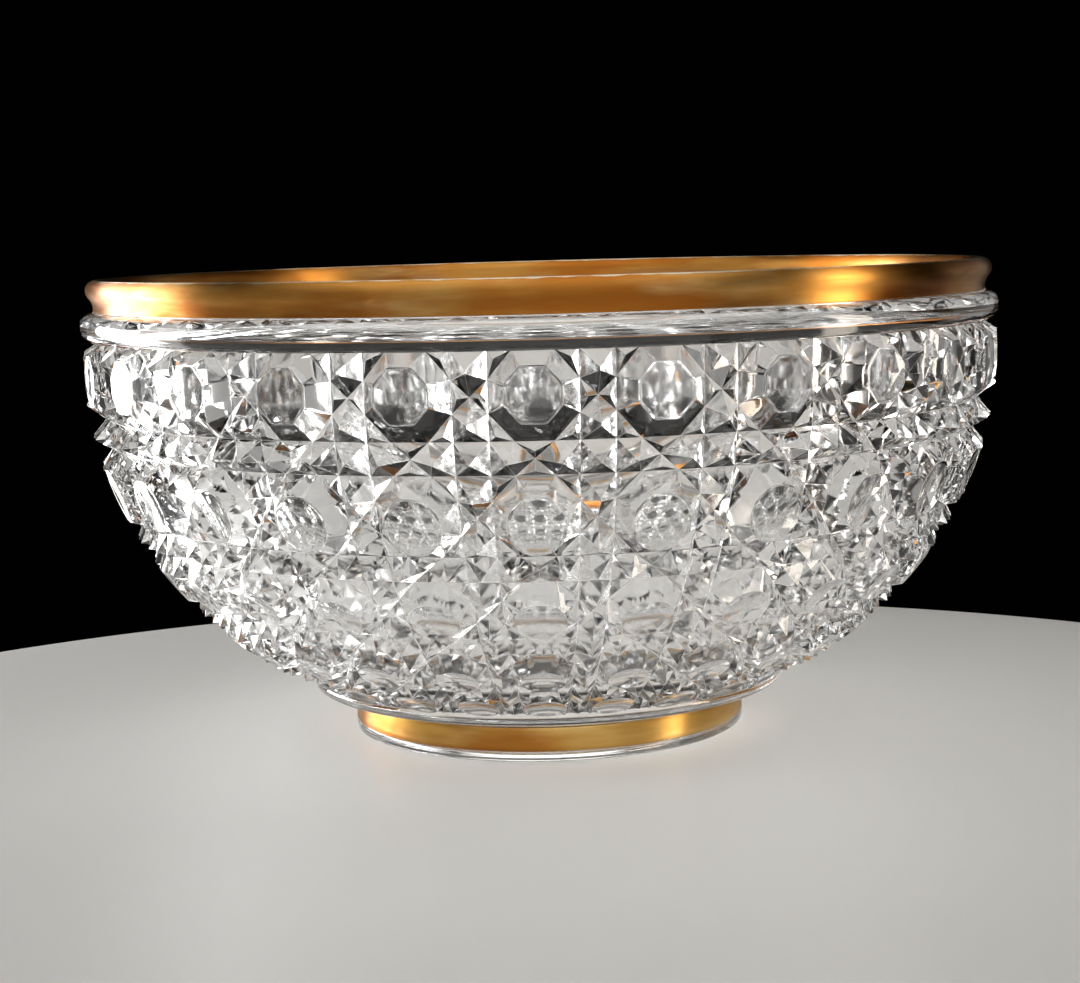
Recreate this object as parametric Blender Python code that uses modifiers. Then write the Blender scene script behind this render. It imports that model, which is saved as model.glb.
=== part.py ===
"""Footed punch bowl of cut crystal, with a gilded lip and a gilded foot.

The wall is cut all over with vertical, horizontal and diagonal V grooves. They leave rows of
octagonal buttons, with bands of small pyramids between them. The origin is the centre of the
foot's rest plane and +Z runs up the bowl's axis, with the middle of one column of buttons at -Y.
"""
import math

import bmesh
import bpy
from mathutils import Vector

MM = 0.001

# Driving dimensions
CROWN_RADIUS = 139.3 * MM        # greatest radius of the buttons' flat tops
CROWN_DROP = 117.3 * MM          # vertical semi-axis of the ellipse that the tops follow
CROWN_CENTRE_Z = 114.5 * MM      # height of that ellipse's centre; the wall is upright above it
PATTERN_TOP_Z = 124.0 * MM       # where the first row starts, under the collar
WALL = 11.0 * MM                 # from the buttons' tops to the inside

COLUMNS = 26
FULL_ROWS = 4                    # rows cut to full depth; a shallower one follows them
GROOVE_DEPTH = 0.0387            # of the local radius
LAST_ROW_DEPTH = 0.5             # of the full depth

# One cell of the pattern, in pitches (a pitch is one column's share of the circle)
BUTTON_WIDTH = 0.715
TOP_BUTTON_HEIGHT = 0.716
BUTTON_HEIGHT = 0.77
BAND = 1.0 - BUTTON_WIDTH        # width of the plain bands, upright and level
CORNER_WIDTH = 0.20              # cut off each corner of a button, along its top or bottom
CORNER_HEIGHT = 0.225            # the same, along its sides
BEVEL = BAND / 2                 # width of a button's sloping edge
PEAK_SETBACK = 1.1 * BEVEL       # from the end of a five-sided pyramid to its point

COLLAR_CENTRE = (135.6 * MM, 127.9 * MM)
COLLAR_RADIUS = 4.4 * MM         # half thickness of the round collar under the lip
COVE_CENTRE = (140.7 * MM, 133.2 * MM)
COVE_RADIUS = 5.0 * MM
LIP_CENTRE = (134.7 * MM, 138.7 * MM)
LIP_RADIUS = 3.1 * MM
INSIDE_UNDER_LIP = (128.8 * MM, 123.0 * MM)
FLOOR_Z = 17.5 * MM              # inside, at the centre
FLOOR_EDGE_ANGLE = 39.0          # on the ellipse, where the floor takes over from the even wall

BASE_Z = 10.5 * MM               # underside of the bowl, on the foot
BASE_RADIUS = 60.6 * MM
MOULDING_CENTRE = (42.2 * MM, 61.2 * MM)
MOULDING_RADIUS = 53.9 * MM      # gentle curve of the plain zone between the pattern and the foot
FOOT_RADIUS = 60.8 * MM
FOOT_EDGE_RADIUS = 61.0 * MM
FOOT_INNER_RADIUS = 49.5 * MM
FOOT_EDGE_HEIGHT = 2.4 * MM      # clear glass edge under the foot's gilding

GILDING = 0.4 * MM               # stand-in thickness of the fired gold
GAP = 0.3 * MM                   # between touching pieces
INSET = GILDING + GAP            # how far the crystal stands back under the gilding
GILDING_INSIDE_Z = 134.0 * MM    # lower edge of the gilding inside the lip

SEGMENTS = 2 * COLUMNS           # facets around the plain turned parts
PITCH = 2 * math.pi / COLUMNS


def clear_scene():
    for old in list(bpy.data.objects):
        bpy.data.objects.remove(old, do_unlink=True)


def principled(name, colour, roughness, metallic, transmission=0.0, ior=1.5):
    material = bpy.data.materials.new(name)
    material.use_nodes = True
    shader = material.node_tree.nodes["Principled BSDF"]
    shader.inputs["Base Color"].default_value = (*colour, 1.0)
    shader.inputs["Roughness"].default_value = roughness
    shader.inputs["Metallic"].default_value = metallic
    shader.inputs["Transmission Weight"].default_value = transmission
    shader.inputs["IOR"].default_value = ior
    return material


def crystal(name):
    return principled(name, (0.93, 0.95, 0.95), 0.03, 0.0, transmission=0.9, ior=1.55)


def gold(name):
    return principled(name, (0.83, 0.52, 0.19), 0.22, 1.0)


def arc(centre, radius, start, end, steps):
    """Points on a circle in the profile plane, from start to end degrees."""
    points = []
    for i in range(steps + 1):
        angle = math.radians(start + (end - start) * i / steps)
        points.append((centre[0] + radius * math.cos(angle), centre[1] + radius * math.sin(angle)))
    return points


# The crown is the surface that the buttons' tops lie on. A place on it is given by its depth in
# pitches under the first row's top edge, so that every row keeps its proportions as the bowl
# narrows: a step down the wall is that share of the local circle.

def ellipse_point(angle, inwards=0.0):
    """Radius, height and outward normal on the crown's ellipse, or a distance inside it."""
    sine = math.sin(math.radians(angle))
    cosine = math.cos(math.radians(angle))
    normal = Vector((sine / CROWN_RADIUS, -cosine / CROWN_DROP)).normalized()
    radius = CROWN_RADIUS * sine - inwards * normal.x
    height = CROWN_CENTRE_Z - CROWN_DROP * cosine - inwards * normal.y
    return radius, height, normal


def crown_table(steps_per_degree=7, lowest_angle=5):
    """(depth in pitches, radius, height, outward normal) down the crown's profile."""
    table = [(0.0, CROWN_RADIUS, PATTERN_TOP_Z, Vector((1.0, 0.0)))]
    for i in range((90 - lowest_angle) * steps_per_degree + 1):
        radius, height, normal = ellipse_point(90 - i / steps_per_degree)
        depth, last_radius, last_height, _ = table[-1]
        step = math.hypot(radius - last_radius, height - last_height)
        depth += step / ((radius + last_radius) / 2) / PITCH
        table.append((depth, radius, height, normal))
    return table


CROWN = crown_table()


def crown_at(depth):
    """Radius, height and outward normal of the crown at a depth in pitches."""
    for before, after in zip(CROWN, CROWN[1:]):
        if depth <= after[0]:
            share = (depth - before[0]) / (after[0] - before[0])
            radius = before[1] + share * (after[1] - before[1])
            height = before[2] + share * (after[2] - before[2])
            normal = before[3].lerp(after[3], share).normalized()
            return radius, height, normal
    raise ValueError("depth runs off the crown")


def wall_point(across, down, rise):
    """A point of the cut wall.

    across is in pitches round the bowl and down in pitches below the first row's top edge. rise
    is 0 at the bottom of the grooves and 1 on the crown.
    """
    radius, height, normal = crown_at(down)
    sunk = GROOVE_DEPTH * radius * (1 - rise)
    radius -= sunk * normal.x
    height -= sunk * normal.y
    angle = PITCH * (across - BUTTON_WIDTH / 2) - math.pi / 2
    return Vector((radius * math.cos(angle), radius * math.sin(angle), height))


def incentre(a, b, c):
    """Centre and radius of the circle inside the triangle a, b, c."""
    sides = (math.dist(b, c), math.dist(c, a), math.dist(a, b))
    around = sum(sides)
    centre = tuple((sides[0] * a[i] + sides[1] * b[i] + sides[2] * c[i]) / around for i in (0, 1))
    area = abs((b[0] - a[0]) * (c[1] - a[1]) - (b[1] - a[1]) * (c[0] - a[0])) / 2
    return centre, 2 * area / around


class Wall:
    """Collects the cut wall's faces, sharing the vertices of neighbouring cells."""

    def __init__(self, mesh):
        self.mesh = mesh
        self.vertices = {}

    def vertex(self, across, down, rise=0.0):
        key = (round(across % COLUMNS, 5) % COLUMNS, round(down, 5), round(rise, 5))
        if key not in self.vertices:
            self.vertices[key] = self.mesh.verts.new(wall_point(*key))
        return self.vertices[key]

    def face(self, *places):
        self.mesh.faces.new([self.vertex(*place) for place in places])

    def pyramid(self, corners, top, rise):
        """Facets from the grooves round a small cell up to its point."""
        for a, b in zip(corners, corners[1:] + corners[:1]):
            self.face(a, b, (*top, rise))

    def point_up(self, corners, ceiling):
        """A three-sided pyramid whose facets all have the grooves' slope."""
        top, reach = incentre(*corners)
        self.pyramid(corners, top, min(reach / BEVEL, ceiling))

    def ring(self, down):
        """The vertices in the bottom of the level groove at this depth, in order round the bowl."""
        found = [(key[0], vertex) for key, vertex in self.vertices.items()
                 if key[2] == 0.0 and abs(key[1] - down) < 1e-4]
        return [vertex for _, vertex in sorted(found, key=lambda pair: pair[0])]


def octagon(left, top, width, height, corner_width, corner_height):
    right = left + width
    bottom = top + height
    return [
        (left + corner_width, top), (right - corner_width, top),
        (right, top + corner_height), (right, bottom - corner_height),
        (right - corner_width, bottom), (left + corner_width, bottom),
        (left, bottom - corner_height), (left, top + corner_height),
    ]


def add_button(wall, left, top, height, ceiling):
    """An octagonal button with sloping edges and a flat top."""
    outer = octagon(left, top, BUTTON_WIDTH, height, CORNER_WIDTH, CORNER_HEIGHT)
    edge = BEVEL * ceiling
    share_across = 1 - 2 * edge / BUTTON_WIDTH
    share_down = 1 - 2 * edge / height
    inner = octagon(left + edge, top + edge, BUTTON_WIDTH - 2 * edge, height - 2 * edge,
                    CORNER_WIDTH * share_across, CORNER_HEIGHT * share_down)
    for i in range(8):
        j = (i + 1) % 8
        wall.face(outer[i], outer[j], (*inner[j], ceiling), (*inner[i], ceiling))
    wall.face(*[(*place, ceiling) for place in inner])

    right = left + BUTTON_WIDTH
    bottom = top + height
    for x, along in ((left, CORNER_WIDTH), (right, -CORNER_WIDTH)):
        for y, down in ((top, CORNER_HEIGHT), (bottom, -CORNER_HEIGHT)):
            wall.point_up([(x, y), (x + along, y), (x, y + down)], ceiling)


def add_upright_band(wall, left, top, height, ceiling):
    """The band between two buttons, crossed by an X at its middle."""
    right = left + BAND
    bottom = top + height
    high = top + CORNER_HEIGHT
    low = bottom - CORNER_HEIGHT
    middle = (left + BAND / 2, (top + bottom) / 2)
    wall.point_up([(left, high), (left, low), middle], ceiling)
    wall.point_up([(right, low), (right, high), middle], ceiling)
    for end, arm, towards in ((top, high, 1), (bottom, low, -1)):
        corners = [(left, end), (left, arm), middle, (right, arm), (right, end)]
        peak = (middle[0], end + towards * PEAK_SETBACK)
        wall.pyramid(corners, peak, ceiling)


def add_level_band(wall, left, top, ceiling):
    """The band between the buttons of two rows, crossed by an X at its middle."""
    right = left + BUTTON_WIDTH
    bottom = top + BAND
    near = left + CORNER_WIDTH
    far = right - CORNER_WIDTH
    middle = ((left + right) / 2, top + BAND / 2)
    wall.point_up([(near, top), (far, top), middle], ceiling)
    wall.point_up([(far, bottom), (near, bottom), middle], ceiling)
    for end, arm, towards in ((left, near, 1), (right, far, -1)):
        corners = [(end, top), (arm, top), middle, (arm, bottom), (end, bottom)]
        peak = (end + towards * PEAK_SETBACK, middle[1])
        wall.pyramid(corners, peak, ceiling)


def add_crossing(wall, left, top, ceiling):
    """The plain four-sided pyramid where an upright and a level band meet."""
    corners = [(left, top), (left + BAND, top), (left + BAND, top + BAND), (left, top + BAND)]
    wall.pyramid(corners, (left + BAND / 2, top + BAND / 2), ceiling)


def cut_wall(mesh):
    """The whole pattern; returns the rings of vertices along its top and bottom edges."""
    wall = Wall(mesh)
    top = 0.0
    for row in range(FULL_ROWS + 1):
        height = BUTTON_HEIGHT if row else TOP_BUTTON_HEIGHT
        ceiling = 1.0 if row < FULL_ROWS else LAST_ROW_DEPTH
        for column in range(COLUMNS):
            add_button(wall, column, top, height, ceiling)
            add_upright_band(wall, column + BUTTON_WIDTH, top, height, ceiling)
        top += height
        if row < FULL_ROWS:
            for column in range(COLUMNS):
                add_level_band(wall, column, top, ceiling)
                add_crossing(wall, column + BUTTON_WIDTH, top, ceiling)
            top += BAND
    return wall.ring(0.0), wall.ring(top)


def turned_ring(mesh, radius, height):
    """A ring of vertices round the axis, in step with the columns."""
    ring = []
    for i in range(SEGMENTS):
        angle = PITCH * (COLUMNS * i / SEGMENTS - BUTTON_WIDTH / 2) - math.pi / 2
        ring.append(mesh.verts.new((radius * math.cos(angle), radius * math.sin(angle), height)))
    return ring


def bridge(mesh, lower, upper):
    """Joins two rings that start at the same angle but may have different counts."""
    i = 0
    j = 0
    while i < len(lower) or j < len(upper):
        a = lower[i % len(lower)]
        b = upper[j % len(upper)]
        if j == len(upper) or (i < len(lower) and (i + 1) * len(upper) <= (j + 1) * len(lower)):
            mesh.faces.new((a, lower[(i + 1) % len(lower)], b))
            i += 1
        else:
            mesh.faces.new((a, upper[(j + 1) % len(upper)], b))
            j += 1


def turn(mesh, first, outline):
    """Continues the surface from a ring of vertices along an outline of turned rings."""
    ring = first
    for radius, height in outline:
        following = turned_ring(mesh, radius, height)
        bridge(mesh, ring, following)
        ring = following
    return ring


def cap(mesh, ring, height):
    """Closes a ring at the axis."""
    centre = mesh.verts.new((0.0, 0.0, height))
    for a, b in zip(ring, ring[1:] + ring[:1]):
        mesh.faces.new((a, b, centre))


def lip_outline(inset, outer_steps, inner_steps):
    """The cove and the lip, from the collar up, over the crest and down inside, set back by inset."""
    towards_lip = math.degrees(math.atan2(LIP_CENTRE[1] - COVE_CENTRE[1], LIP_CENTRE[0] - COVE_CENTRE[0]))
    cove = arc(COVE_CENTRE, COVE_RADIUS + inset, 188, towards_lip, 3)
    outer = arc(LIP_CENTRE, LIP_RADIUS - inset, towards_lip - 180, 90, outer_steps)
    inner = arc(LIP_CENTRE, LIP_RADIUS - inset, 90, 180, inner_steps)
    return cove + outer[1:] + inner[1:]


def inside_line(height, inset=0.0):
    """The straight wall just inside the lip."""
    top = (LIP_CENTRE[0] - LIP_RADIUS, LIP_CENTRE[1])
    share = (top[1] - height) / (top[1] - INSIDE_UNDER_LIP[1])
    return (top[0] + share * (INSIDE_UNDER_LIP[0] - top[0]) + inset, height)


def inside_outline():
    """From the gilding's lower edge inside the lip down to the floor, not as far as the axis."""
    points = [inside_line(GILDING_INSIDE_Z - GAP), INSIDE_UNDER_LIP]
    steps = 6
    for i in range(steps + 1):
        radius, height, normal = ellipse_point(90 - (90 - FLOOR_EDGE_ANGLE) * i / steps, WALL)
        points.append((radius, height))
    rise = height - FLOOR_Z
    power = -normal.x / normal.y * radius / rise
    for share in (0.8, 0.6, 0.35):
        points.append((radius * share, FLOOR_Z + rise * share ** power))
    return points


def underside_outline():
    """The plain moulding under the pattern and the edge of the flat base."""
    return arc(MOULDING_CENTRE, MOULDING_RADIUS, -56, -69.5, 2) + [(BASE_RADIUS, BASE_Z)]


def link(thing, collection, material):
    thing.data.materials.append(material)
    collection.objects.link(thing)
    return thing


def make_bowl_body(collection):
    """The cut crystal body: pattern, collar, cove, lip, inside and base in one piece."""
    mesh = bmesh.new()
    top_edge, bottom_edge = cut_wall(mesh)

    outline = arc(COLLAR_CENTRE, COLLAR_RADIUS, -80, 86, 6)
    outline += lip_outline(INSET, 3, 2)
    outline.append(inside_line(GILDING_INSIDE_Z - GAP, INSET))
    outline += inside_outline()
    inside = turn(mesh, top_edge, outline)
    cap(mesh, inside, FLOOR_Z)

    base = turn(mesh, bottom_edge, underside_outline())
    cap(mesh, base, BASE_Z)

    bmesh.ops.recalc_face_normals(mesh, faces=mesh.faces)
    data = bpy.data.meshes.new("bowl_body")
    mesh.to_mesh(data)
    mesh.free()
    return link(bpy.data.objects.new("bowl_body", data), collection, crystal("cut_crystal"))


def make_turned(name, outline, collection, material):
    """A turned piece: a closed outline at +X, running down its outer side, under a Screw modifier."""
    data = bpy.data.meshes.new(name)
    points = [(radius, 0.0, height) for radius, height in outline]
    edges = [(i, (i + 1) % len(points)) for i in range(len(points))]
    data.from_pydata(points, edges, [])
    piece = bpy.data.objects.new(name, data)
    screw = piece.modifiers.new("turn", "SCREW")
    screw.axis = "Z"
    screw.steps = SEGMENTS
    screw.render_steps = SEGMENTS
    screw.use_merge_vertices = True
    screw.merge_threshold = 0.00001
    screw.use_smooth_shade = True
    return link(piece, collection, material)


def make_foot_ring(collection):
    """The crystal foot: a plain ring with a ground rest face and a hollow under the base."""
    top = BASE_Z - GAP
    wall = FOOT_RADIUS - INSET
    outline = [
        (wall, top),
        (wall, FOOT_EDGE_HEIGHT - GAP),
        (FOOT_EDGE_RADIUS, FOOT_EDGE_HEIGHT - GAP),
        (FOOT_EDGE_RADIUS, 0.8 * MM),
        (FOOT_EDGE_RADIUS - 0.8 * MM, 0.0),
        (FOOT_INNER_RADIUS + 2.5 * MM, 0.0),
        (FOOT_INNER_RADIUS + 1.0 * MM, 1.5 * MM),
        (FOOT_INNER_RADIUS, top),
    ]
    return make_turned("foot_ring", outline, collection, crystal("foot_crystal"))


def make_rim_gilding(collection):
    """The gold over the cove, the lip and a narrow strip inside it."""
    outside = lip_outline(0.0, 4, 3) + [inside_line(GILDING_INSIDE_Z)]
    backing = lip_outline(GILDING, 4, 3) + [inside_line(GILDING_INSIDE_Z, GILDING)]
    return make_turned("rim_gilding", outside[::-1] + backing, collection, gold("rim_gold"))


def make_foot_gilding(collection):
    """The gold band round the foot."""
    top = BASE_Z - GAP - 0.1 * MM
    outline = [
        (FOOT_RADIUS, top),
        (FOOT_EDGE_RADIUS - 0.05 * MM, FOOT_EDGE_HEIGHT),
        (FOOT_RADIUS - GILDING, FOOT_EDGE_HEIGHT),
        (FOOT_RADIUS - GILDING, top),
    ]
    return make_turned("foot_gilding", outline, collection, gold("foot_gold"))


def main():
    clear_scene()
    collection = bpy.data.collections.new("punch_bowl")
    bpy.context.scene.collection.children.link(collection)
    make_bowl_body(collection)
    make_foot_ring(collection)
    make_rim_gilding(collection)
    make_foot_gilding(collection)


main()
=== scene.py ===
"""Looks of the footed crystal punch bowl: cut glass, fired gold, a pale floor and soft studio light."""
import math

import bmesh
import bpy
from mathutils import Matrix, Vector, noise


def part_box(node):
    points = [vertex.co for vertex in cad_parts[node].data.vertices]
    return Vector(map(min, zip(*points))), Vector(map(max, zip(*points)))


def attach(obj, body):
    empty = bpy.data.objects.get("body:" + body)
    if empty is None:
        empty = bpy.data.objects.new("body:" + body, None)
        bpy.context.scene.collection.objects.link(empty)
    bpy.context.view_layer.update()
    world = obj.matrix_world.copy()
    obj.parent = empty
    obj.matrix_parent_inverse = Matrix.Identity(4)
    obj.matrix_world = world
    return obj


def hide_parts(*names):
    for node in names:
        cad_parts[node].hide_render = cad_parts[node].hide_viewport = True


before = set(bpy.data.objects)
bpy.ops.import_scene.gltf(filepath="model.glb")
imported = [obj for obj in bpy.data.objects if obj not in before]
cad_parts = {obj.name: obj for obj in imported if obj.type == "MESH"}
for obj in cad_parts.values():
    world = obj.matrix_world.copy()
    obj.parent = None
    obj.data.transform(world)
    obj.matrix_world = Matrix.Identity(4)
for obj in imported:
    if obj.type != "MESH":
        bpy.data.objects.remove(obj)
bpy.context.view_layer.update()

MM = 0.001

# The crystal's design, as in the frame
CROWN_RADIUS = 139.3 * MM        # greatest radius of the buttons' tops
CROWN_DROP = 117.3 * MM          # vertical semi-axis of the ellipse that the tops follow
CROWN_CENTRE_Z = 114.5 * MM
PATTERN_TOP_Z = 124.0 * MM
WALL = 11.0 * MM

COLUMNS = 26
FULL_ROWS = 4
PITCH = 2 * math.pi / COLUMNS
GROOVE_DEPTH = 0.0387            # of the local radius
LAST_ROW_DEPTH = 0.5             # of a full button's height, for the half row at the bottom

# A cell's sizes, in pitches
BUTTON_WIDTH = 0.715
TOP_BUTTON_HEIGHT = 0.716
BUTTON_HEIGHT = 0.77
BAND = 1.0 - BUTTON_WIDTH
CORNER_WIDTH = 0.20
CORNER_HEIGHT = 0.225
BEVEL = BAND / 2

# The buttons' ground dishes, one value for each row from the top
DISH_SIZES = ((0.44, 0.44), (0.48, 0.52), (0.50, 0.455), (0.51, 0.455), (0.62, 0.675))
DISH_LIFTS = (0.028, 0.0, 0.02, 0.01, 0.0)         # in pitches, above the button's middle
CORNER_SOFTNESS = (0.14, 0.38, 0.46, 0.48, 0.48)   # of a side, how far its round corner reaches
DISH_DEPTHS = (0.035, 0.16, 0.20, 0.24, 0.30)      # of the groove's depth
DISH_RINGS = (0.86, 0.68, 0.46, 0.23)              # the smaller outlines inside a dish's edge
CORNER_POINTS = 5                                  # round each softened corner of a dish

# Turned profiles: radius and height of each arc's centre; first and last angle in degrees, and steps
COLLAR_CENTRE = (135.6 * MM, 127.9 * MM)
COLLAR_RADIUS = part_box("bowl_body")[1][0] - COLLAR_CENTRE[0]
COLLAR_ARC = (-82, 86, 20)
COVE_CENTRE = (140.7 * MM, 133.2 * MM)
COVE_RADIUS = 5.0 * MM
COVE_START = 188.0               # degrees
LIP_CENTRE = (134.7 * MM, 138.7 * MM)
LIP_RADIUS = 3.1 * MM
LIP_TOP = LIP_CENTRE[1] + LIP_RADIUS
CRYSTAL_LIP_STEPS = (8, 22)      # in the cove and in the lip
GOLD_LIP_STEPS = (10, 30)

INSIDE_UNDER_LIP = (128.8 * MM, 123.0 * MM)
INSIDE_LEVELS = (136 * MM, 133 * MM, 130 * MM, 127 * MM)    # of the rings between lip and bowl
JOIN_SHARES = (0.0, 0.35, 0.7)   # of the rings between that straight wall and the ellipse
INSIDE_STEPS = 28
FLOOR_STEPS = 20
FLOOR_Z = 17.5 * MM
FLOOR_EDGE_ANGLE = 39.0          # degrees on the ellipse, where the floor begins
SWELLS = ((0.10, 26 * MM, 3.1), (0.03, 9 * MM, 7.7))    # height in mm, length and seed of each

BEAD_CENTRE = (71.6 * MM, 15.45 * MM)     # under the pattern
BEAD_RADIUS = 2.1 * MM
BEAD_ARC = (62, -72, 10)
MOULDING_CENTRE = (53.2 * MM, 70.3 * MM)
MOULDING_RADIUS = 60.0 * MM
MOULDING_ARC = (-71.8, -82, 8)

FOOT_EDGE_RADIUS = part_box("foot_ring")[1][0]
FOOT_EDGE_ROUND = 0.8 * MM
FOOT_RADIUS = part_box("foot_gilding")[1][0] - 0.15 * MM
FOOT_FLARE = 0.1 * MM            # how much wider the gold band is at its lower edge
FOOT_GOLD_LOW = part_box("foot_gilding")[0][2] + 0.7 * MM    # the band's edge is worn back
FOOT_GOLD_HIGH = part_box("foot_gilding")[1][2]
FOOT_TOP_STEP = (0.15 * MM, 0.12 * MM)    # outwards and upwards from the gold's upper edge
FOOT_LOW_STEP = 0.2 * MM         # below the gold's lower edge
FOOT_ROUND_STEPS = 5
FOOT_INNER_RADIUS = 49.5 * MM
REST_FACE_INNER = FOOT_INNER_RADIUS + 2.5 * MM
REST_FACE_ROUND = 1.5 * MM
HOLLOW_ROUND = 2.0 * MM
BASE_Z = 10.5 * MM
BASE_RINGS = (0.8, 0.5, 0.2)     # of the hollow's radius

TURNED_SEGMENTS = 8 * COLUMNS
PLACE_DIGITS = 5                 # places in the pattern that agree so far are one vertex
INSIDE_MATERIAL = 1              # slot of the bowl's inside
EDGE_MATERIAL = 2                # slot of the worn edges

# Gold
SKIN = 0.03 * MM                 # how far the gold stands proud of the crystal
GOLD_INSET = 0.01 * MM           # keeps the gold inside the frame's outline
GOLD_LEVELS = (0, 0.25, 0.5, 0.75, 1)     # of the rings down the foot's band
GOLD_INSIDE_Z = 134.0 * MM
GOLD_INSIDE_STEP = 2 * MM

# Worn edges of the cuts
EDGE_WIDTH = 0.24 * MM
EDGE_SEGMENTS = 2
EDGE_ANGLE = 24.0                # degrees; blunter edges are left alone


# ---------------------------------------------------------------- shapes of revolution

def arc(centre, radius, start, end, steps):
    """Points on a circle in the profile plane, from start to end degrees."""
    points = []
    for i in range(steps + 1):
        angle = math.radians(start + (end - start) * i / steps)
        points.append((centre[0] + radius * math.cos(angle), centre[1] + radius * math.sin(angle)))
    return points


def ellipse_point(angle, inwards=0.0):
    """Radius, height and outward normal on the crown's ellipse, or a distance inside it."""
    sine = math.sin(math.radians(angle))
    cosine = math.cos(math.radians(angle))
    normal = Vector((sine / CROWN_RADIUS, -cosine / CROWN_DROP)).normalized()
    radius = CROWN_RADIUS * sine - inwards * normal.x
    height = CROWN_CENTRE_Z - CROWN_DROP * cosine - inwards * normal.y
    return radius, height, normal


def crown_table(steps_per_degree=7, lowest_angle=5):
    """(depth in pitches, radius, height, outward normal) down the crown's profile."""
    table = [(0.0, CROWN_RADIUS, PATTERN_TOP_Z, Vector((1.0, 0.0)))]
    for i in range((90 - lowest_angle) * steps_per_degree + 1):
        radius, height, normal = ellipse_point(90 - i / steps_per_degree)
        depth, last_radius, last_height, _ = table[-1]
        step = math.hypot(radius - last_radius, height - last_height)
        depth += step / ((radius + last_radius) / 2) / PITCH
        table.append((depth, radius, height, normal))
    return table


CROWN = crown_table()


def crown_at(depth):
    """Radius, height and outward normal of the crown at a depth in pitches."""
    for before, after in zip(CROWN, CROWN[1:]):
        if depth <= after[0]:
            share = (depth - before[0]) / (after[0] - before[0])
            radius = before[1] + share * (after[1] - before[1])
            height = before[2] + share * (after[2] - before[2])
            normal = before[3].lerp(after[3], share).normalized()
            return radius, height, normal
    raise ValueError("depth runs off the crown")


def angle_round(across):
    """The angle about the bowl's axis of a place across the columns, in pitches."""
    return PITCH * (across - BUTTON_WIDTH / 2) - math.pi / 2


def wall_point(across, down, rise):
    """A point of the cut wall: rise is 0 at the bottom of the grooves and 1 on the crown."""
    radius, height, normal = crown_at(down)
    sunk = GROOVE_DEPTH * radius * (1 - rise)
    radius -= sunk * normal.x
    height -= sunk * normal.y
    angle = angle_round(across)
    return Vector((radius * math.cos(angle), radius * math.sin(angle), height))


# ---------------------------------------------------------------- the cut pattern

def incentre(a, b, c):
    """Centre and radius of the circle inside the triangle a, b, c."""
    sides = (math.dist(b, c), math.dist(c, a), math.dist(a, b))
    around = sum(sides)
    centre = tuple((sides[0] * a[i] + sides[1] * b[i] + sides[2] * c[i]) / around for i in (0, 1))
    area = abs((b[0] - a[0]) * (c[1] - a[1]) - (b[1] - a[1]) * (c[0] - a[0])) / 2
    return centre, 2 * area / around


def pairs_round(items):
    """Each item of a closed run with the one after it."""
    return list(zip(items, items[1:] + items[:1]))


class Wall:
    """Collects the cut wall's faces, sharing the vertices of neighbouring cells."""

    def __init__(self, mesh):
        self.mesh = mesh
        self.vertices = {}

    def vertex(self, across, down, rise=0.0):
        key = (round(across % COLUMNS, PLACE_DIGITS) % COLUMNS, round(down, PLACE_DIGITS),
               round(rise, PLACE_DIGITS))
        if key not in self.vertices:
            self.vertices[key] = self.mesh.verts.new(wall_point(*key))
        return self.vertices[key]

    def face(self, *places, smooth=False):
        face = self.mesh.faces.new([self.vertex(*place) for place in places])
        face.smooth = smooth

    def pyramid(self, corners, top, rise):
        """Facets from the grooves round a small cell up to its point."""
        for a, b in pairs_round(corners):
            self.face(a, b, (*top, rise))

    def point_up(self, corners, ceiling):
        """A three-sided pyramid whose facets all have the grooves' slope."""
        top, reach = incentre(*corners)
        self.pyramid(corners, top, min(reach / BEVEL, ceiling))

    def house(self, base_a, arm_a, middle, arm_b, base_b, ceiling):
        """A five-sided cell: its square end slopes to one point, its gable to another."""
        base = ((base_a[0] + base_b[0]) / 2, (base_a[1] + base_b[1]) / 2)
        length = math.dist(base, middle)
        along = ((middle[0] - base[0]) / length, (middle[1] - base[1]) / length)
        gable = math.dist(middle, arm_a)
        near = (base[0] + along[0] * BEVEL, base[1] + along[1] * BEVEL, ceiling)
        far = (middle[0] - along[0] * gable, middle[1] - along[1] * gable, ceiling)
        self.face(base_b, base_a, near)
        self.face(base_a, arm_a, far, near)
        self.face(arm_b, base_b, near, far)
        self.face(arm_a, middle, far)
        self.face(middle, arm_b, far)

    def ring(self, down):
        """The vertices in the bottom of the level groove at this depth, in order round the bowl."""
        found = [(key[0], vertex) for key, vertex in self.vertices.items()
                 if key[2] == 0.0 and abs(key[1] - down) < 10 ** (1 - PLACE_DIGITS)]
        return [vertex for _, vertex in sorted(found, key=lambda pair: pair[0])]


def octagon(left, top, width, height, corner_width, corner_height):
    right = left + width
    bottom = top + height
    return [
        (left + corner_width, top), (right - corner_width, top),
        (right, top + corner_height), (right, bottom - corner_height),
        (right - corner_width, bottom), (left + corner_width, bottom),
        (left, bottom - corner_height), (left, top + corner_height),
    ]


def soften(corners, softness):
    """Each corner of an outline as a run of points along a short curve."""
    runs = []
    for i, corner in enumerate(corners):
        before = Vector(corners[i - 1])
        after = Vector(corners[(i + 1) % len(corners)])
        corner = Vector(corner)
        start = corner.lerp(before, softness)
        end = corner.lerp(after, softness)
        run = []
        for k in range(CORNER_POINTS):
            share = k / (CORNER_POINTS - 1)
            point = start.lerp(corner, share).lerp(corner.lerp(end, share), share)
            run.append((point.x, point.y))
        runs.append(run)
    return runs


def dish_place(centre, edge, share, ceiling, depth):
    """A place in a dish, at a share of the way from its middle to a point on its edge."""
    return (centre[0] + share * (edge[0] - centre[0]), centre[1] + share * (edge[1] - centre[1]),
            ceiling - depth * (1 - share ** 2))


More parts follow.
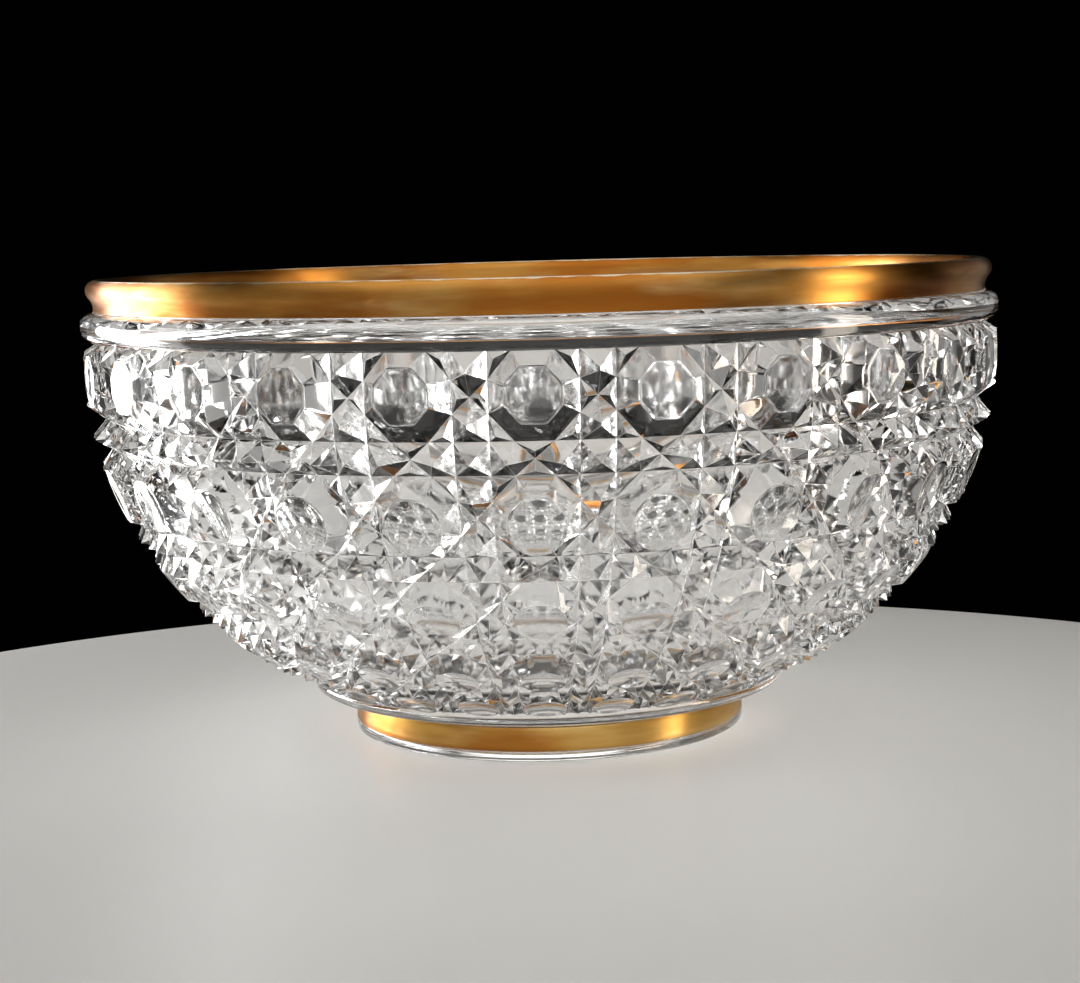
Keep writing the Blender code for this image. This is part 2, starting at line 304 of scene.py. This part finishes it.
def add_dish(wall, centre, outline, ceiling, depth):
    """The smooth hollow inside an outline."""
    shares = (1.0, *DISH_RINGS)
    for wide, narrow in zip(shares, shares[1:]):
        for a, b in pairs_round(outline):
            corners = ((a, wide), (b, wide), (b, narrow), (a, narrow))
            wall.face(*[dish_place(centre, edge, share, ceiling, depth) for edge, share in corners],
                      smooth=True)
    for a, b in pairs_round(outline):
        rim = [dish_place(centre, edge, shares[-1], ceiling, depth) for edge in (a, b)]
        wall.face(*rim, (*centre, ceiling - depth), smooth=True)


def add_button(wall, left, top, height, ceiling, row):
    """An octagonal button: sloping edges round a shallow ground dish with soft corners."""
    outer = octagon(left, top, BUTTON_WIDTH, height, CORNER_WIDTH, CORNER_HEIGHT)
    dish_width, dish_height = DISH_SIZES[row]
    inner = octagon(left + (BUTTON_WIDTH - dish_width) / 2,
                    top + (height - dish_height) / 2 - DISH_LIFTS[row], dish_width, dish_height,
                    CORNER_WIDTH * dish_width / BUTTON_WIDTH, CORNER_HEIGHT * dish_height / height)
    runs = soften(inner, CORNER_SOFTNESS[row])
    for i in range(8):
        j = (i + 1) % 8
        wall.face(outer[i], outer[j], (*runs[j][0], ceiling), (*runs[i][-1], ceiling))
        for a, b in zip(runs[i], runs[i][1:]):
            wall.face(outer[i], (*b, ceiling), (*a, ceiling))

    centre = (left + BUTTON_WIDTH / 2, top + height / 2 - DISH_LIFTS[row])
    outline = [point for run in runs for point in run]
    add_dish(wall, centre, outline, ceiling, DISH_DEPTHS[row])

    right = left + BUTTON_WIDTH
    bottom = top + height
    for x, along in ((left, CORNER_WIDTH), (right, -CORNER_WIDTH)):
        for y, down in ((top, CORNER_HEIGHT), (bottom, -CORNER_HEIGHT)):
            wall.point_up([(x, y), (x + along, y), (x, y + down)], ceiling)


def add_upright_band(wall, left, top, height, ceiling):
    """The band between two buttons, crossed by an X at its middle."""
    right = left + BAND
    bottom = top + height
    high = top + CORNER_HEIGHT
    low = bottom - CORNER_HEIGHT
    middle = (left + BAND / 2, (top + bottom) / 2)
    wall.point_up([(left, high), (left, low), middle], ceiling)
    wall.point_up([(right, low), (right, high), middle], ceiling)
    wall.house((right, top), (right, high), middle, (left, high), (left, top), ceiling)
    wall.house((left, bottom), (left, low), middle, (right, low), (right, bottom), ceiling)


def add_level_band(wall, left, top, ceiling):
    """The band between the buttons of two rows, crossed by an X at its middle."""
    right = left + BUTTON_WIDTH
    bottom = top + BAND
    near = left + CORNER_WIDTH
    far = right - CORNER_WIDTH
    middle = ((left + right) / 2, top + BAND / 2)
    wall.point_up([(near, top), (far, top), middle], ceiling)
    wall.point_up([(far, bottom), (near, bottom), middle], ceiling)
    wall.house((left, top), (near, top), middle, (near, bottom), (left, bottom), ceiling)
    wall.house((right, bottom), (far, bottom), middle, (far, top), (right, top), ceiling)


def add_crossing(wall, left, top, ceiling):
    """The plain four-sided pyramid where an upright and a level band meet."""
    corners = [(left, top), (left + BAND, top), (left + BAND, top + BAND), (left, top + BAND)]
    wall.pyramid(corners, (left + BAND / 2, top + BAND / 2), ceiling)


def cut_wall(mesh):
    """The whole pattern; returns the rings of vertices along its top and bottom edges."""
    wall = Wall(mesh)
    top = 0.0
    for row in range(FULL_ROWS + 1):
        height = BUTTON_HEIGHT if row else TOP_BUTTON_HEIGHT
        ceiling = 1.0 if row < FULL_ROWS else LAST_ROW_DEPTH
        for column in range(COLUMNS):
            add_button(wall, column, top, height, ceiling, row)
            add_upright_band(wall, column + BUTTON_WIDTH, top, height, ceiling)
        top += height
        if row < FULL_ROWS:
            for column in range(COLUMNS):
                add_level_band(wall, column, top, ceiling)
                add_crossing(wall, column + BUTTON_WIDTH, top, ceiling)
            top += BAND
    return wall.ring(0.0), wall.ring(top)


# ---------------------------------------------------------------- turned surfaces

def turned_ring(mesh, radius, height):
    ring = []
    for i in range(TURNED_SEGMENTS):
        angle = angle_round(COLUMNS * i / TURNED_SEGMENTS)
        ring.append(mesh.verts.new((radius * math.cos(angle), radius * math.sin(angle), height)))
    return ring


def bridge(mesh, lower, upper):
    """Joins two rings that start at the same angle but may have different counts."""
    if len(lower) == len(upper):
        for (a, b), (c, d) in zip(pairs_round(lower), pairs_round(upper)):
            mesh.faces.new((a, b, d, c)).smooth = True
        return
    i = 0
    j = 0
    while i < len(lower) or j < len(upper):
        a = lower[i % len(lower)]
        b = upper[j % len(upper)]
        if j == len(upper) or (i < len(lower) and (i + 1) * len(upper) <= (j + 1) * len(lower)):
            mesh.faces.new((a, lower[(i + 1) % len(lower)], b)).smooth = True
            i += 1
        else:
            mesh.faces.new((a, upper[(j + 1) % len(upper)], b)).smooth = True
            j += 1


def turn(mesh, first, outline):
    """Continues the surface from a ring of vertices along an outline of turned rings."""
    ring = first
    for radius, height in outline:
        following = turned_ring(mesh, radius, height)
        bridge(mesh, ring, following)
        ring = following
    return ring


def cap(mesh, ring, height):
    """Closes a ring at the axis."""
    centre = mesh.verts.new((0.0, 0.0, height))
    for a, b in pairs_round(ring):
        mesh.faces.new((a, b, centre)).smooth = True


def lip_outline(inset, cove_steps, lip_steps):
    """The cove and the lip, from the collar up, over and down inside, set back by inset."""
    towards_lip = math.degrees(math.atan2(LIP_CENTRE[1] - COVE_CENTRE[1],
                                          LIP_CENTRE[0] - COVE_CENTRE[0]))
    cove = arc(COVE_CENTRE, COVE_RADIUS + inset, COVE_START, towards_lip, cove_steps)
    lip = arc(LIP_CENTRE, LIP_RADIUS - inset, towards_lip - 180, 180, lip_steps)
    return cove + lip[1:]


def inside_line(height, inset=0.0):
    """The straight wall just inside the lip."""
    top = (LIP_CENTRE[0] - LIP_RADIUS, LIP_CENTRE[1])
    share = (top[1] - height) / (top[1] - INSIDE_UNDER_LIP[1])
    return (top[0] + share * (INSIDE_UNDER_LIP[0] - top[0]) + inset, height)


def inside_outline():
    """From under the lip down to the floor, not as far as the axis."""
    points = [inside_line(level) for level in INSIDE_LEVELS]
    join = ellipse_point(90, WALL)
    for share in JOIN_SHARES:
        points.append((INSIDE_UNDER_LIP[0] + share * (join[0] - INSIDE_UNDER_LIP[0]),
                       INSIDE_UNDER_LIP[1] + share * (join[1] - INSIDE_UNDER_LIP[1])))
    for i in range(INSIDE_STEPS + 1):
        radius, height, normal = ellipse_point(90 - (90 - FLOOR_EDGE_ANGLE) * i / INSIDE_STEPS, WALL)
        points.append((radius, height))
    rise = height - FLOOR_Z
    power = -normal.x / normal.y * radius / rise     # the floor meets the ellipse at its slope
    for i in range(1, FLOOR_STEPS):
        share = 1 - i / FLOOR_STEPS
        points.append((radius * share, FLOOR_Z + rise * share ** power))
    return points


def foot_outline():
    """From the pattern's lower edge over the moulding and foot, to the underside's centre."""
    wall = FOOT_RADIUS - SKIN
    steps = FOOT_ROUND_STEPS
    points = arc(BEAD_CENTRE, BEAD_RADIUS, *BEAD_ARC)
    points += arc(MOULDING_CENTRE, MOULDING_RADIUS, *MOULDING_ARC)
    points += [(wall + FOOT_TOP_STEP[0], FOOT_GOLD_HIGH + FOOT_TOP_STEP[1]), (wall, FOOT_GOLD_HIGH)]
    points += [(wall + FOOT_FLARE, FOOT_GOLD_LOW), (FOOT_EDGE_RADIUS, FOOT_GOLD_LOW - FOOT_LOW_STEP)]
    edge_centre = (FOOT_EDGE_RADIUS - FOOT_EDGE_ROUND, FOOT_EDGE_ROUND)
    points += arc(edge_centre, FOOT_EDGE_ROUND, 0, -90, steps)
    points += arc((REST_FACE_INNER, REST_FACE_ROUND), REST_FACE_ROUND, -90, -180, steps)
    hollow_centre = (FOOT_INNER_RADIUS - HOLLOW_ROUND, BASE_Z - HOLLOW_ROUND)
    points += arc(hollow_centre, HOLLOW_ROUND, 0, 90, steps)
    points += [(share * FOOT_INNER_RADIUS, BASE_Z) for share in BASE_RINGS]
    return points


def wave(point, scale, seed):
    """Smooth random number between about -1 and 1 at a place."""
    return noise.noise(point / scale + Vector((seed, 2.3 * seed, -seed)))


def uneven_inside(vertices):
    """The slight waviness of a fire-polished surface."""
    for vertex in vertices:
        swell = sum(height * wave(vertex.co, length, seed) for height, length, seed in SWELLS)
        outwards = Vector((vertex.co.x, vertex.co.y, 0.0)).normalized()
        vertex.co += outwards * swell * MM


# ---------------------------------------------------------------- the three visible pieces

def link(thing):
    bpy.context.scene.collection.objects.link(thing)


def mesh_object(name, mesh):
    data = bpy.data.meshes.new(name)
    bmesh.ops.recalc_face_normals(mesh, faces=mesh.faces)
    mesh.to_mesh(data)
    mesh.free()
    piece = bpy.data.objects.new(name, data)
    link(piece)
    return piece


def make_crystal():
    """Bowl and foot as one body of glass, as they are fused on the real bowl."""
    mesh = bmesh.new()
    top_edge, bottom_edge = cut_wall(mesh)
    outline = arc(COLLAR_CENTRE, COLLAR_RADIUS, *COLLAR_ARC)
    outline += lip_outline(SKIN, *CRYSTAL_LIP_STEPS)
    ring = turn(mesh, top_edge, outline)
    outer_vertices = set(mesh.verts)
    outer_faces = set(mesh.faces)
    inside = turn(mesh, ring, inside_outline())
    cap(mesh, inside, FLOOR_Z)
    uneven_inside([vertex for vertex in mesh.verts if vertex not in outer_vertices])
    for face in mesh.faces:
        if face not in outer_faces:
            face.material_index = INSIDE_MATERIAL
    base = turn(mesh, bottom_edge, foot_outline())
    cap(mesh, base, BASE_Z)
    return mesh_object("cut_crystal_bowl", mesh)


def wear_edges(crystal):
    """Narrow worn strips along the cuts' sharp edges."""
    bevel = crystal.modifiers.new("worn_edges", "BEVEL")
    bevel.width = EDGE_WIDTH
    bevel.segments = EDGE_SEGMENTS
    bevel.limit_method = "ANGLE"
    bevel.angle_limit = math.radians(EDGE_ANGLE)
    bevel.material = EDGE_MATERIAL


def make_skin(name, outside, backing):
    """A thin closed skin turned round the axis, from its outline and the backing behind it."""
    mesh = bmesh.new()
    rings = [turned_ring(mesh, radius, height) for radius, height in outside + backing[::-1]]
    for ring, following in pairs_round(rings):
        bridge(mesh, ring, following)
    return mesh_object(name, mesh)


def make_rim_gold():
    """Fired gold over the cove and the lip, and a strip inside."""
    levels = (GOLD_INSIDE_Z + GOLD_INSIDE_STEP, GOLD_INSIDE_Z)
    outside = lip_outline(GOLD_INSET, *GOLD_LIP_STEPS)
    outside += [inside_line(level) for level in levels]
    backing = lip_outline(2 * SKIN, *GOLD_LIP_STEPS)
    backing += [inside_line(level, 2 * SKIN) for level in levels]
    return make_skin("rim_gold", outside, backing)


def make_foot_gold():
    """The gold band round the foot."""
    drop = FOOT_GOLD_LOW - FOOT_GOLD_HIGH
    outside = [(FOOT_RADIUS + FOOT_FLARE * share, FOOT_GOLD_HIGH + share * drop)
               for share in GOLD_LEVELS]
    backing = [(radius - 2 * SKIN, height) for radius, height in outside]
    return make_skin("foot_gold", outside, backing)


# ---------------------------------------------------------------- materials

# Crystal: roughness in the best and the worst polished places
REFRACTIVE_INDEX = 1.56
CUT_POLISH = (0.0, 0.04)
INSIDE_POLISH = (0.05, 0.08)
EDGE_POLISH = (0.25, 0.50)
EDGE_CLEARNESS = 0.75
POLISH_NOISE = (60.0, 3.0)       # patches per metre, and detail
POLISH_LEVELS = (0.35, 0.65)     # of the noise, in the best and the worst places
INSIDE_SCUFFING = 0.05           # roughness that ladles and glasses have added at the bottom
SCUFFED_BELOW = (38 * MM, 92 * MM)        # heights where it is complete and where it begins

# Gold: dark, middle and bright tones; marks per metre round the bowl and up it, and detail
RIM_GOLD_TONES = ((0.54, 0.185, 0.026), (0.68, 0.32, 0.066), (0.88, 0.55, 0.21))
# The foot's gold is the rim's fired gold in lighter tones: painted light that brightens the foot's band
FOOT_GOLD_LIGHTENED_TONES = ((0.56, 0.215, 0.036), (0.80, 0.45, 0.11), (0.94, 0.64, 0.24))
# Pale gold along the lip's crest: partly rubbed wear, partly a painted highlight where the crest catches
# the lamps
WORN_GOLD_AND_PAINTED_HIGHLIGHT = (0.86, 0.76, 0.58)
PATCH_MARKS = (22, 80, 3.0)
PATCH_LEVELS = (0.40, 0.62)      # of the noise, where a patch begins and is complete
GLINT_MARKS = (26, 150, 4.0)
GLINT_LEVELS = (0.46, 0.80)
TURNING_MARKS = (45, 5200, 4.0)
TURNING_LEVELS = (0.3, 0.7)
TURNING_ROUGHNESS = (0.36, 0.48)
TURNING_STRENGTH = 0.6
TURNING_DEPTH = 0.03 * MM
TURNING_SMEAR = 0.25             # of a turn from the marks: highlights spread up and down
# Marks, height and edge of the pale crest strip: rubbed wear and a painted highlight in one
WEAR_AND_HIGHLIGHT_MARKS = (150, 150, 5.0)
RIM_WEAR_AND_HIGHLIGHT_HEIGHT = LIP_TOP - 0.32 * MM
WEAR_AND_HIGHLIGHT_WANDER = 1.1 * MM           # how far the pale crest strip's edge wanders up and down
WEAR_AND_HIGHLIGHT_EDGE = (0.55 * MM, 0.70 * MM)        # over the strip's height, where the rubbed wear and painted highlight begin and are full

FLOOR_NOISE = (9.0, 4.0)
FLOOR_TONES = ((0.60, 0.60, 0.59), (0.66, 0.66, 0.65))
FLOOR_ROUGHNESS = 0.45


def new_material(name):
    material = bpy.data.materials.new(name)
    material.use_nodes = True
    tree = material.node_tree
    shader = tree.nodes["Principled BSDF"]
    place = tree.nodes.new("ShaderNodeTexCoord").outputs["Object"]
    return material, tree, shader, place


def add_noise(tree, scale, detail, vector):
    node = tree.nodes.new("ShaderNodeTexNoise")
    node.inputs["Scale"].default_value = scale
    node.inputs["Detail"].default_value = detail
    tree.links.new(vector, node.inputs["Vector"])
    return node.outputs["Fac"]


def add_marks(tree, place, around, upwards, detail):
    """Noise stretched into marks that run round the bowl, in marks per metre."""
    stretch = tree.nodes.new("ShaderNodeVectorMath")
    stretch.operation = "MULTIPLY"
    stretch.inputs[1].default_value = (around, around, upwards)
    tree.links.new(place, stretch.inputs[0])
    return add_noise(tree, 1.0, detail, stretch.outputs["Vector"])


def add_height(tree, place):
    split = tree.nodes.new("ShaderNodeSeparateXYZ")
    tree.links.new(place, split.inputs["Vector"])
    return split.outputs["Z"]


def math_node(tree, operation, first, second):
    """A Math node; each operand is a socket or a plain number."""
    node = tree.nodes.new("ShaderNodeMath")
    node.operation = operation
    for operand, socket in zip((first, second), node.inputs):
        if isinstance(operand, (int, float)):
            socket.default_value = operand
        else:
            tree.links.new(operand, socket)
    return node.outputs["Value"]


def smooth_step(tree, value, low, high, to_low=0.0, to_high=1.0):
    node = tree.nodes.new("ShaderNodeMapRange")
    node.interpolation_type = "SMOOTHSTEP"
    for name, number in (("From Min", low), ("From Max", high), ("To Min", to_low), ("To Max", to_high)):
        node.inputs[name].default_value = number
    tree.links.new(value, node.inputs["Value"])
    return node.outputs["Result"]


def mix_colour(tree, factor, first, second):
    """A mix of two colours, each a socket or a plain colour."""
    node = tree.nodes.new("ShaderNodeMix")
    node.data_type = "RGBA"
    for colour, socket in ((first, node.inputs[6]), (second, node.inputs[7])):
        if isinstance(colour, tuple):
            socket.default_value = (*colour, 1.0)
        else:
            tree.links.new(colour, socket)
    tree.links.new(factor, node.inputs[0])
    return node.outputs[2]


def crystal_material(name, polish_range, clearness=1.0, scuffing=0.0):
    """Clear lead crystal whose polish varies a little from place to place, with scuffing low down."""
    material, tree, shader, place = new_material(name)
    shader.inputs["Base Color"].default_value = (1.0, 1.0, 1.0, 1.0)
    shader.inputs["IOR"].default_value = REFRACTIVE_INDEX
    shader.inputs["Transmission Weight"].default_value = clearness
    polish = smooth_step(tree, add_noise(tree, *POLISH_NOISE, place), *POLISH_LEVELS, *polish_range)
    if scuffing:
        scuffs = smooth_step(tree, add_height(tree, place), *SCUFFED_BELOW, scuffing, 0.0)
        polish = math_node(tree, "ADD", polish, scuffs)
    tree.links.new(polish, shader.inputs["Roughness"])
    return material


def gold_material(name, dark, middle, bright, wear_and_highlight_height=None):
    """Antique fired gold: uneven warm colour, fine turning marks, and a pale strip along the crest that
    is partly rubbed wear and partly a painted highlight.
    """
    material, tree, shader, place = new_material(name)
    patches = smooth_step(tree, add_marks(tree, place, *PATCH_MARKS), *PATCH_LEVELS)
    warm = mix_colour(tree, patches, dark, middle)
    glints = smooth_step(tree, add_marks(tree, place, *GLINT_MARKS), *GLINT_LEVELS)
    colour = mix_colour(tree, glints, warm, bright)
    # Painted highlight and rubbed wear together: the crest is turned pale all round
    if wear_and_highlight_height:
        strip_wander = math_node(tree, "MULTIPLY", add_marks(tree, place, *WEAR_AND_HIGHLIGHT_MARKS), WEAR_AND_HIGHLIGHT_WANDER)
        level = math_node(tree, "ADD", add_height(tree, place), strip_wander)
        worn_and_lit_strip = smooth_step(tree, level, wear_and_highlight_height + WEAR_AND_HIGHLIGHT_EDGE[0], wear_and_highlight_height + WEAR_AND_HIGHLIGHT_EDGE[1])
        colour = mix_colour(tree, worn_and_lit_strip, colour, WORN_GOLD_AND_PAINTED_HIGHLIGHT)
    tree.links.new(colour, shader.inputs["Base Color"])
    shader.inputs["Metallic"].default_value = 1.0
    marks = add_marks(tree, place, *TURNING_MARKS)
    roughness = smooth_step(tree, marks, *TURNING_LEVELS, *TURNING_ROUGHNESS)
    tree.links.new(roughness, shader.inputs["Roughness"])
    shader.inputs["Anisotropic"].default_value = 1.0
    shader.inputs["Anisotropic Rotation"].default_value = TURNING_SMEAR
    round_axis = tree.nodes.new("ShaderNodeTangent")
    round_axis.direction_type = "RADIAL"
    round_axis.axis = "Z"
    tree.links.new(round_axis.outputs["Tangent"], shader.inputs["Tangent"])
    bump = tree.nodes.new("ShaderNodeBump")
    bump.inputs["Strength"].default_value = TURNING_STRENGTH
    bump.inputs["Distance"].default_value = TURNING_DEPTH
    tree.links.new(marks, bump.inputs["Height"])
    tree.links.new(bump.outputs["Normal"], shader.inputs["Normal"])
    return material


def floor_material():
    material, tree, shader, place = new_material("pale_floor")
    mottle = mix_colour(tree, add_noise(tree, *FLOOR_NOISE, place), *FLOOR_TONES)
    tree.links.new(mottle, shader.inputs["Base Color"])
    shader.inputs["Roughness"].default_value = FLOOR_ROUGHNESS
    return material


# ---------------------------------------------------------------- setting

CAMERA_AROUND = 0.0144           # radians, from -Y towards +X
CAMERA_DISTANCE = 0.6603
CAMERA_HEIGHT = 0.1533
CAMERA_PITCH = math.radians(7.055)
CAMERA_ROLL = math.radians(-1.54)
CAMERA_YAW = math.radians(-0.105)
SENSOR = 36.0                    # mm
FOCAL = 70.5467                  # mm

DAYLIGHT = (1.0, 0.985, 0.955)
COOL_DAYLIGHT = (0.97, 0.985, 1.0)
WARM_DAYLIGHT = (1.0, 0.89, 0.76)

# Upright soft lights that face the axis: name, azimuth in degrees from -Y towards +X, distance,
# lowest and highest height, half angle in degrees, radiance, colour
PANELS = (
    ("window", -117, 0.95, -0.40, 0.30, 13, 13.0, COOL_DAYLIGHT),
    ("window_side", -100, 0.95, -0.20, 0.60, 9, 3.6, DAYLIGHT),
    ("window_sill", -146, 0.98, -0.16, -0.02, 5, 3.0, DAYLIGHT),
    ("left_wall", -66, 1.2, -0.2, 0.7, 26, 0.30, DAYLIGHT),
    ("front_left", -27, 1.4, -0.4, 0.9, 13, 0.36, DAYLIGHT),
    ("front_right", 14, 1.4, -0.4, 0.9, 28, 0.62, DAYLIGHT),
    ("side_strip", 75, 0.95, -0.35, 0.65, 5.0, 8.0, WARM_DAYLIGHT),
    ("right_wall", 66, 1.3, -0.2, 0.6, 20, 0.24, DAYLIGHT),
    ("back_right", 128, 0.95, -0.12, 0.4, 16, 0.25, DAYLIGHT),
)
OVERHEAD_SIZE = (1.3, 1.1)
OVERHEAD_PLACE = (-0.1, -0.35, 1.0)
OVERHEAD_RADIANCE = 1.65
WORLD_STRENGTH = 0.0002

FLOOR_RADIUS = 0.32
FLOOR_CENTRE_Y = -0.11
FLOOR_EDGE_ROUND = 6 * MM
FLOOR_INNERMOST = 0.2            # of the radius, like the other rings
FLOOR_RINGS = (0.4, 0.7, 0.9)

LIGHT_BOUNCES = 24               # enough for light to find its way out of the cuts


def add_camera():
    yaw = CAMERA_YAW - CAMERA_AROUND
    forward = Vector((math.sin(yaw) * math.cos(CAMERA_PITCH), math.cos(yaw) * math.cos(CAMERA_PITCH),
                      -math.sin(CAMERA_PITCH)))
    level_right = Vector((math.cos(yaw), -math.sin(yaw), 0.0))
    level_up = level_right.cross(forward)
    right = level_right * math.cos(CAMERA_ROLL) + level_up * math.sin(CAMERA_ROLL)
    up = level_up * math.cos(CAMERA_ROLL) - level_right * math.sin(CAMERA_ROLL)
    data = bpy.data.cameras.new("camera")
    data.sensor_width = SENSOR
    data.lens = FOCAL
    camera = bpy.data.objects.new("camera", data)
    link(camera)
    place = Vector((CAMERA_DISTANCE * math.sin(CAMERA_AROUND),
                    -CAMERA_DISTANCE * math.cos(CAMERA_AROUND), CAMERA_HEIGHT))
    axes = Matrix((right, up, -forward)).transposed().to_4x4()
    camera.matrix_world = Matrix.Translation(place) @ axes
    bpy.context.scene.camera = camera


def add_light(name, width, height, radiance, colour, location):
    """A rectangular soft light that faces down, with a given radiance."""
    data = bpy.data.lights.new(name, "AREA")
    data.shape = "RECTANGLE"
    data.size = width
    data.size_y = height
    data.energy = radiance * math.pi * data.size * data.size_y
    data.color = colour
    light = bpy.data.objects.new(name, data)
    light.location = location
    link(light)
    return light


def add_panel(name, azimuth, distance, low, high, half_angle, radiance, colour):
    """An upright soft light that faces the axis."""
    width = 2 * distance * math.tan(math.radians(half_angle))
    angle = math.radians(azimuth)
    location = (distance * math.sin(angle), -distance * math.cos(angle), (low + high) / 2)
    panel = add_light(name, width, high - low, radiance, colour, location)
    panel.rotation_euler = (math.radians(90), 0.0, angle)


def add_floor():
    """A pale round table top with a softened edge."""
    mesh = bmesh.new()
    edge = arc((FLOOR_RADIUS - FLOOR_EDGE_ROUND, -FLOOR_EDGE_ROUND), FLOOR_EDGE_ROUND, 90, -90, 10)
    first = turned_ring(mesh, FLOOR_INNERMOST * FLOOR_RADIUS, 0.0)
    last = turn(mesh, first, [(share * FLOOR_RADIUS, 0.0) for share in FLOOR_RINGS] + edge)
    cap(mesh, first, 0.0)
    cap(mesh, last, -2 * FLOOR_EDGE_ROUND)
    floor = mesh_object("floor", mesh)
    floor.location.y = FLOOR_CENTRE_Y
    floor.data.materials.append(floor_material())


def set_world(strength):
    world = bpy.data.worlds.new("studio")
    world.use_nodes = True
    background = world.node_tree.nodes["Background"]
    background.inputs["Color"].default_value = (1.0, 1.0, 1.0, 1.0)
    background.inputs["Strength"].default_value = strength
    bpy.context.scene.world = world


def main():
    crystal = make_crystal()
    wear_edges(crystal)
    for material in (crystal_material("cut_crystal", CUT_POLISH),
                     crystal_material("fire_polished_crystal", INSIDE_POLISH, scuffing=INSIDE_SCUFFING),
                     crystal_material("worn_crystal_edge", EDGE_POLISH, EDGE_CLEARNESS)):
        crystal.data.materials.append(material)
    crystal.visible_shadow = False      # lamps shine through the glass onto what is behind it
    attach(crystal, "root")
    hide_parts("bowl_body", "foot_ring")

    rim_colour = gold_material("rim_fired_gold", *RIM_GOLD_TONES, RIM_WEAR_AND_HIGHLIGHT_HEIGHT)
    foot_colour = gold_material("foot_fired_gold", *FOOT_GOLD_LIGHTENED_TONES)
    golds = (
        (make_rim_gold(), "rim_gilding", rim_colour),
        (make_foot_gold(), "foot_gilding", foot_colour),
    )
    for piece, node, material in golds:
        piece.data.materials.append(material)
        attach(piece, "root")
        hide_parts(node)

    add_floor()
    set_world(WORLD_STRENGTH)
    for panel in PANELS:
        add_panel(*panel)
    add_light("overhead", *OVERHEAD_SIZE, OVERHEAD_RADIANCE, DAYLIGHT, OVERHEAD_PLACE)
    add_camera()
    scene = bpy.context.scene
    scene.view_settings.view_transform = "Standard"
    scene.cycles.max_bounces = LIGHT_BOUNCES
    scene.cycles.transmission_bounces = LIGHT_BOUNCES


main()
